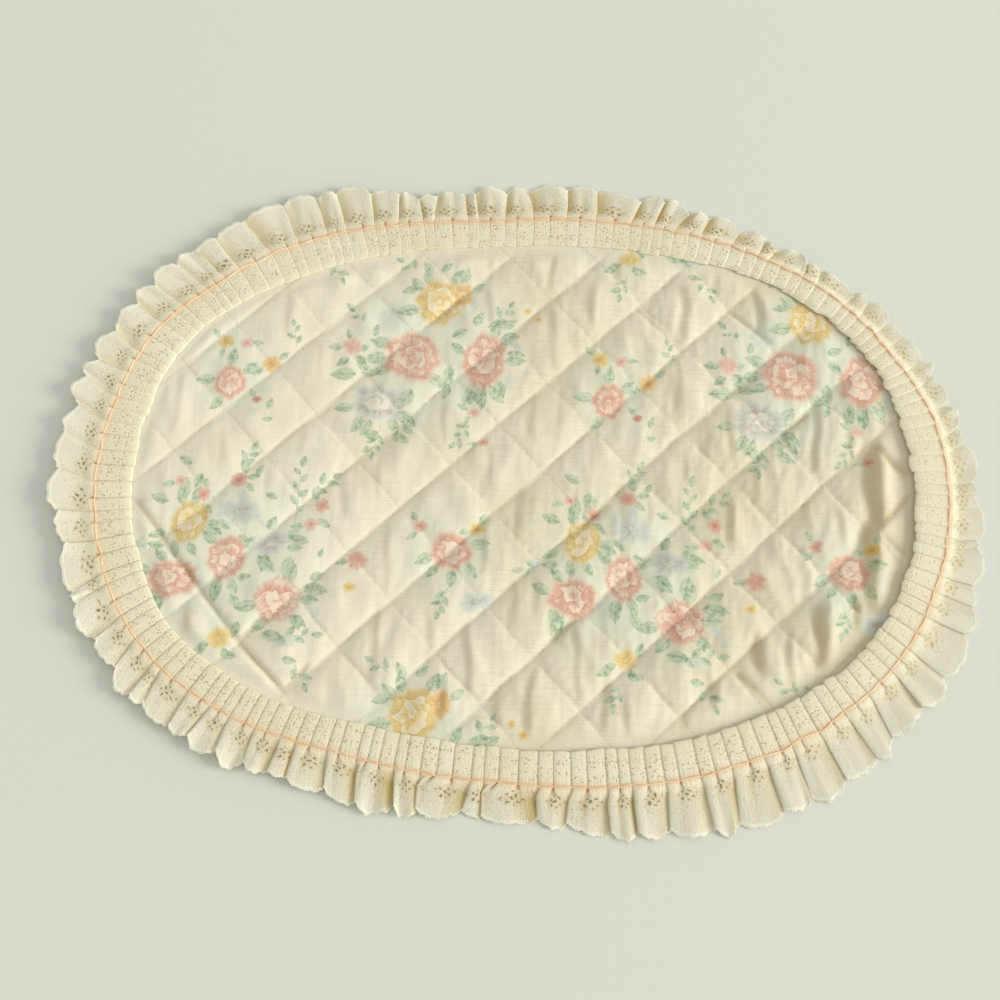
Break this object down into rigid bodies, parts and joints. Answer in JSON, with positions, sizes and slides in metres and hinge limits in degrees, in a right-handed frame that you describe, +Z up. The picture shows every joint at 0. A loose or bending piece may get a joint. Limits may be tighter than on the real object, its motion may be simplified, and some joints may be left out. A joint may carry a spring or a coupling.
{
  "type": "quilted oval placemat with gathered lace edge",
  "caption": "Oval table mat of printed cotton, padded and quilted in diamonds, with a pleated lace header and scalloped lace ruffle gathered round its rim by a peach thread.",
  "frame": {"origin": "on the table under the middle of the mat's box", "axes": "+X along the oval's long way, +Y along its short way, +Z up from the table"},
  "size_m": [0.5003, 0.3724, 0.0066],
  "materials": {
    "printed_cotton": "cream cotton printed with small pastel roses and leaves, matt plain weave with slubs",
    "ivory_lace": "ivory eyelet lace, thin, matt and a little sheer, with a scalloped edge",
    "peach_thread": "twisted peach sewing thread with a soft sheen"
  },
  "bodies": {
    "root": {"quilted_panel": "printed_cotton", "lace_trim": "ivory_lace", "gathering_thread": "peach_thread"}
  },
  "joints": []
}
